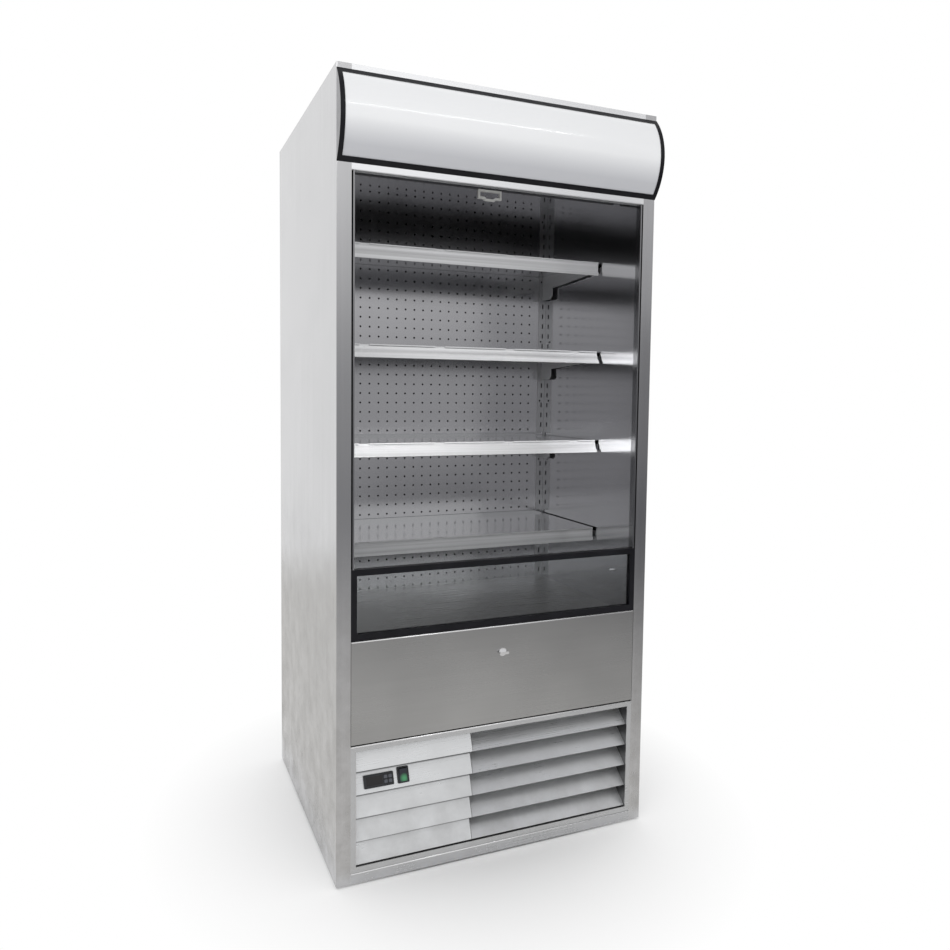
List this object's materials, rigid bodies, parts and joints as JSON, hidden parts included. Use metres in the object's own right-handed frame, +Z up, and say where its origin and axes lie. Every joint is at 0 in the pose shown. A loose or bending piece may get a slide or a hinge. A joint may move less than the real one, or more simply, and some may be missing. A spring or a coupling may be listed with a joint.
{
  "type": "open multideck display fridge",
  "caption": "Tall open-fronted refrigerated display cabinet with adjustable shelves, lit curved header, pull-down night blind, low glass front and ventilated machine bay.",
  "frame": {"origin": "on the floor, in the middle of the overall footprint, the canopy's bulge included", "axes": "+X to the right for someone facing the cabinet, +Y from the front to the back, +Z up"},
  "size_m": [0.9, 0.79, 2],
  "materials": {
    "outer_steel": "satin brushed stainless",
    "liner_steel": "polished stainless",
    "upright_steel": "brushed stainless",
    "shelf_steel": "brushed stainless",
    "rail_metal": "bright anodised",
    "edge_metal": "bright anodised, dark groove",
    "header_steel": "polished lip",
    "galvanised": "spangled zinc",
    "insulation": "rigid foam",
    "canopy_white": "opal acrylic",
    "black_trim": "satin black",
    "cap_grey": "moulded grey",
    "lamp_glass": "opal tube",
    "blind_grey": "dark anodised",
    "blind_cloth": "woven reflective cloth",
    "handle_plastic": "moulded pale grey",
    "clear_glass": "toughened glass",
    "lock_metal": "plated",
    "grille_steel": "brushed stainless",
    "control_black": "fine texture",
    "display_window": "dark red window",
    "key_grey": "soft keys",
    "switch_green": "lit green rocker",
    "zinc_steel": "zinc plated",
    "fin_aluminium": "fin stock",
    "fan_plastic": "moulded black",
    "motor_metal": "cast",
    "compressor_black": "gloss black enamel",
    "copper": "drawn copper tube",
    "tray_plastic": "formed tray"
  },
  "bodies": {
    "cabinet": {"left_side_panel": "outer_steel", "right_side_panel": "outer_steel", "back_panel": "galvanised", "top_panel": "galvanised", "foam_insulation": "insulation", "tank_shell": "liner_steel", "left_liner": "liner_steel", "right_liner": "liner_steel", "rear_liner": "liner_steel", "ceiling_panel": "liner_steel", "left_edge_profile": "edge_metal", "right_edge_profile": "edge_metal", "perforated_back_panel": "liner_steel", "left_upright": "upright_steel", "right_upright": "upright_steel", "shelf_1": "shelf_steel", "shelf_2": "shelf_steel", "shelf_3": "shelf_steel", "shelf_4": "shelf_steel", "shelf_brackets": "shelf_steel", "ticket_rails": "rail_metal", "header_box": "header_steel", "canopy_trim": "black_trim", "canopy_face": "canopy_white", "canopy_end_caps": "cap_grey", "lamp_tube": "lamp_glass", "blind_cassette": "blind_grey", "blind_fabric": "blind_cloth", "deck_pan": "shelf_steel", "glass_frame": "black_trim", "glass_pane": "clear_glass", "plinth_rail": "grille_steel", "grille_frame": "grille_steel", "grille_louvres": "grille_steel", "controller_housing": "control_black", "controller_display": "display_window", "switch_frame": "control_black", "base_frame": "zinc_steel", "levelling_feet": "zinc_steel", "fan_motors": "motor_metal", "condenser_shroud": "zinc_steel", "evaporator_fan_plate": "zinc_steel", "condenser_coil": "fin_aluminium", "evaporator_coil": "fin_aluminium", "compressor": "compressor_black", "condensate_tray": "tray_plastic", "refrigerant_lines": "copper"},
    "blind": {"blind_bar": "blind_grey", "blind_handle": "handle_plastic"},
    "roller": {"blind_roller": "blind_cloth"},
    "front_panel": {"access_panel": "outer_steel"},
    "lock": {"panel_lock": "lock_metal"},
    "condenser_rotor": {"condenser_fan": "fan_plastic"},
    "evaporator_rotor_left": {"evaporator_fan_left": "fan_plastic"},
    "evaporator_rotor_right": {"evaporator_fan_right": "fan_plastic"},
    "key_1": {"controller_key_1": "key_grey"},
    "key_2": {"controller_key_2": "key_grey"},
    "key_3": {"controller_key_3": "key_grey"},
    "key_4": {"controller_key_4": "key_grey"},
    "rocker": {"switch_rocker": "switch_green"}
  },
  "joints": [
    {"name": "blind_draw", "type": "slide", "parent": "cabinet", "child": "blind", "axis": [0, 0, -1], "range_m": [0, 1.071], "stiffness_N_per_m": 8, "springref_m": -1, "deforming": ["blind_fabric"]},
    {"name": "roller_turn", "type": "hinge", "parent": "cabinet", "child": "roller", "pos_m": [0, -0.2164, 1.829], "axis": [1, 0, 0], "range_deg": [0, 3030]},
    {"name": "panel_hinge", "type": "hinge", "parent": "cabinet", "child": "front_panel", "pos_m": [0, -0.352, 0.363], "axis": [1, 0, 0], "range_deg": [0, 90]},
    {"name": "lock_turn", "type": "hinge", "parent": "front_panel", "child": "lock", "pos_m": [0, -0.355, 0.55], "axis": [0, 1, 0], "range_deg": [0, 90]},
    {"name": "condenser_spin", "type": "hinge", "parent": "cabinet", "child": "condenser_rotor", "pos_m": [0.08, -0.213, 0.19], "axis": [0, 1, 0], "continuous": true},
    {"name": "evaporator_spin_left", "type": "hinge", "parent": "cabinet", "child": "evaporator_rotor_left", "pos_m": [-0.19, -0.191, 0.504], "axis": [0, 1, 0], "continuous": true},
    {"name": "evaporator_spin_right", "type": "hinge", "parent": "cabinet", "child": "evaporator_rotor_right", "pos_m": [0.19, -0.191, 0.504], "axis": [0, 1, 0], "continuous": true},
    {"name": "key_1_press", "type": "slide", "parent": "cabinet", "child": "key_1", "axis": [0, 0.9205, -0.3907], "range_m": [0, 0.0008], "stiffness_N_per_m": 600, "springref_m": -0.0006},
    {"name": "key_2_press", "type": "slide", "parent": "cabinet", "child": "key_2", "axis": [0, 0.9205, -0.3907], "range_m": [0, 0.0008], "stiffness_N_per_m": 600, "springref_m": -0.0006},
    {"name": "key_3_press", "type": "slide", "parent": "cabinet", "child": "key_3", "axis": [0, 0.9205, -0.3907], "range_m": [0, 0.0008], "stiffness_N_per_m": 600, "springref_m": -0.0006},
    {"name": "key_4_press", "type": "slide", "parent": "cabinet", "child": "key_4", "axis": [0, 0.9205, -0.3907], "range_m": [0, 0.0008], "stiffness_N_per_m": 600, "springref_m": -0.0006},
    {"name": "switch_rock", "type": "hinge", "parent": "cabinet", "child": "rocker", "pos_m": [-0.271, -0.33667, 0.2552], "axis": [1, 0, 0], "range_deg": [-16, 0]}
  ],
  "couplings": [
    {"joint": "roller_turn", "follows": "blind_draw", "rad_per_m": 49.261}
  ]
}
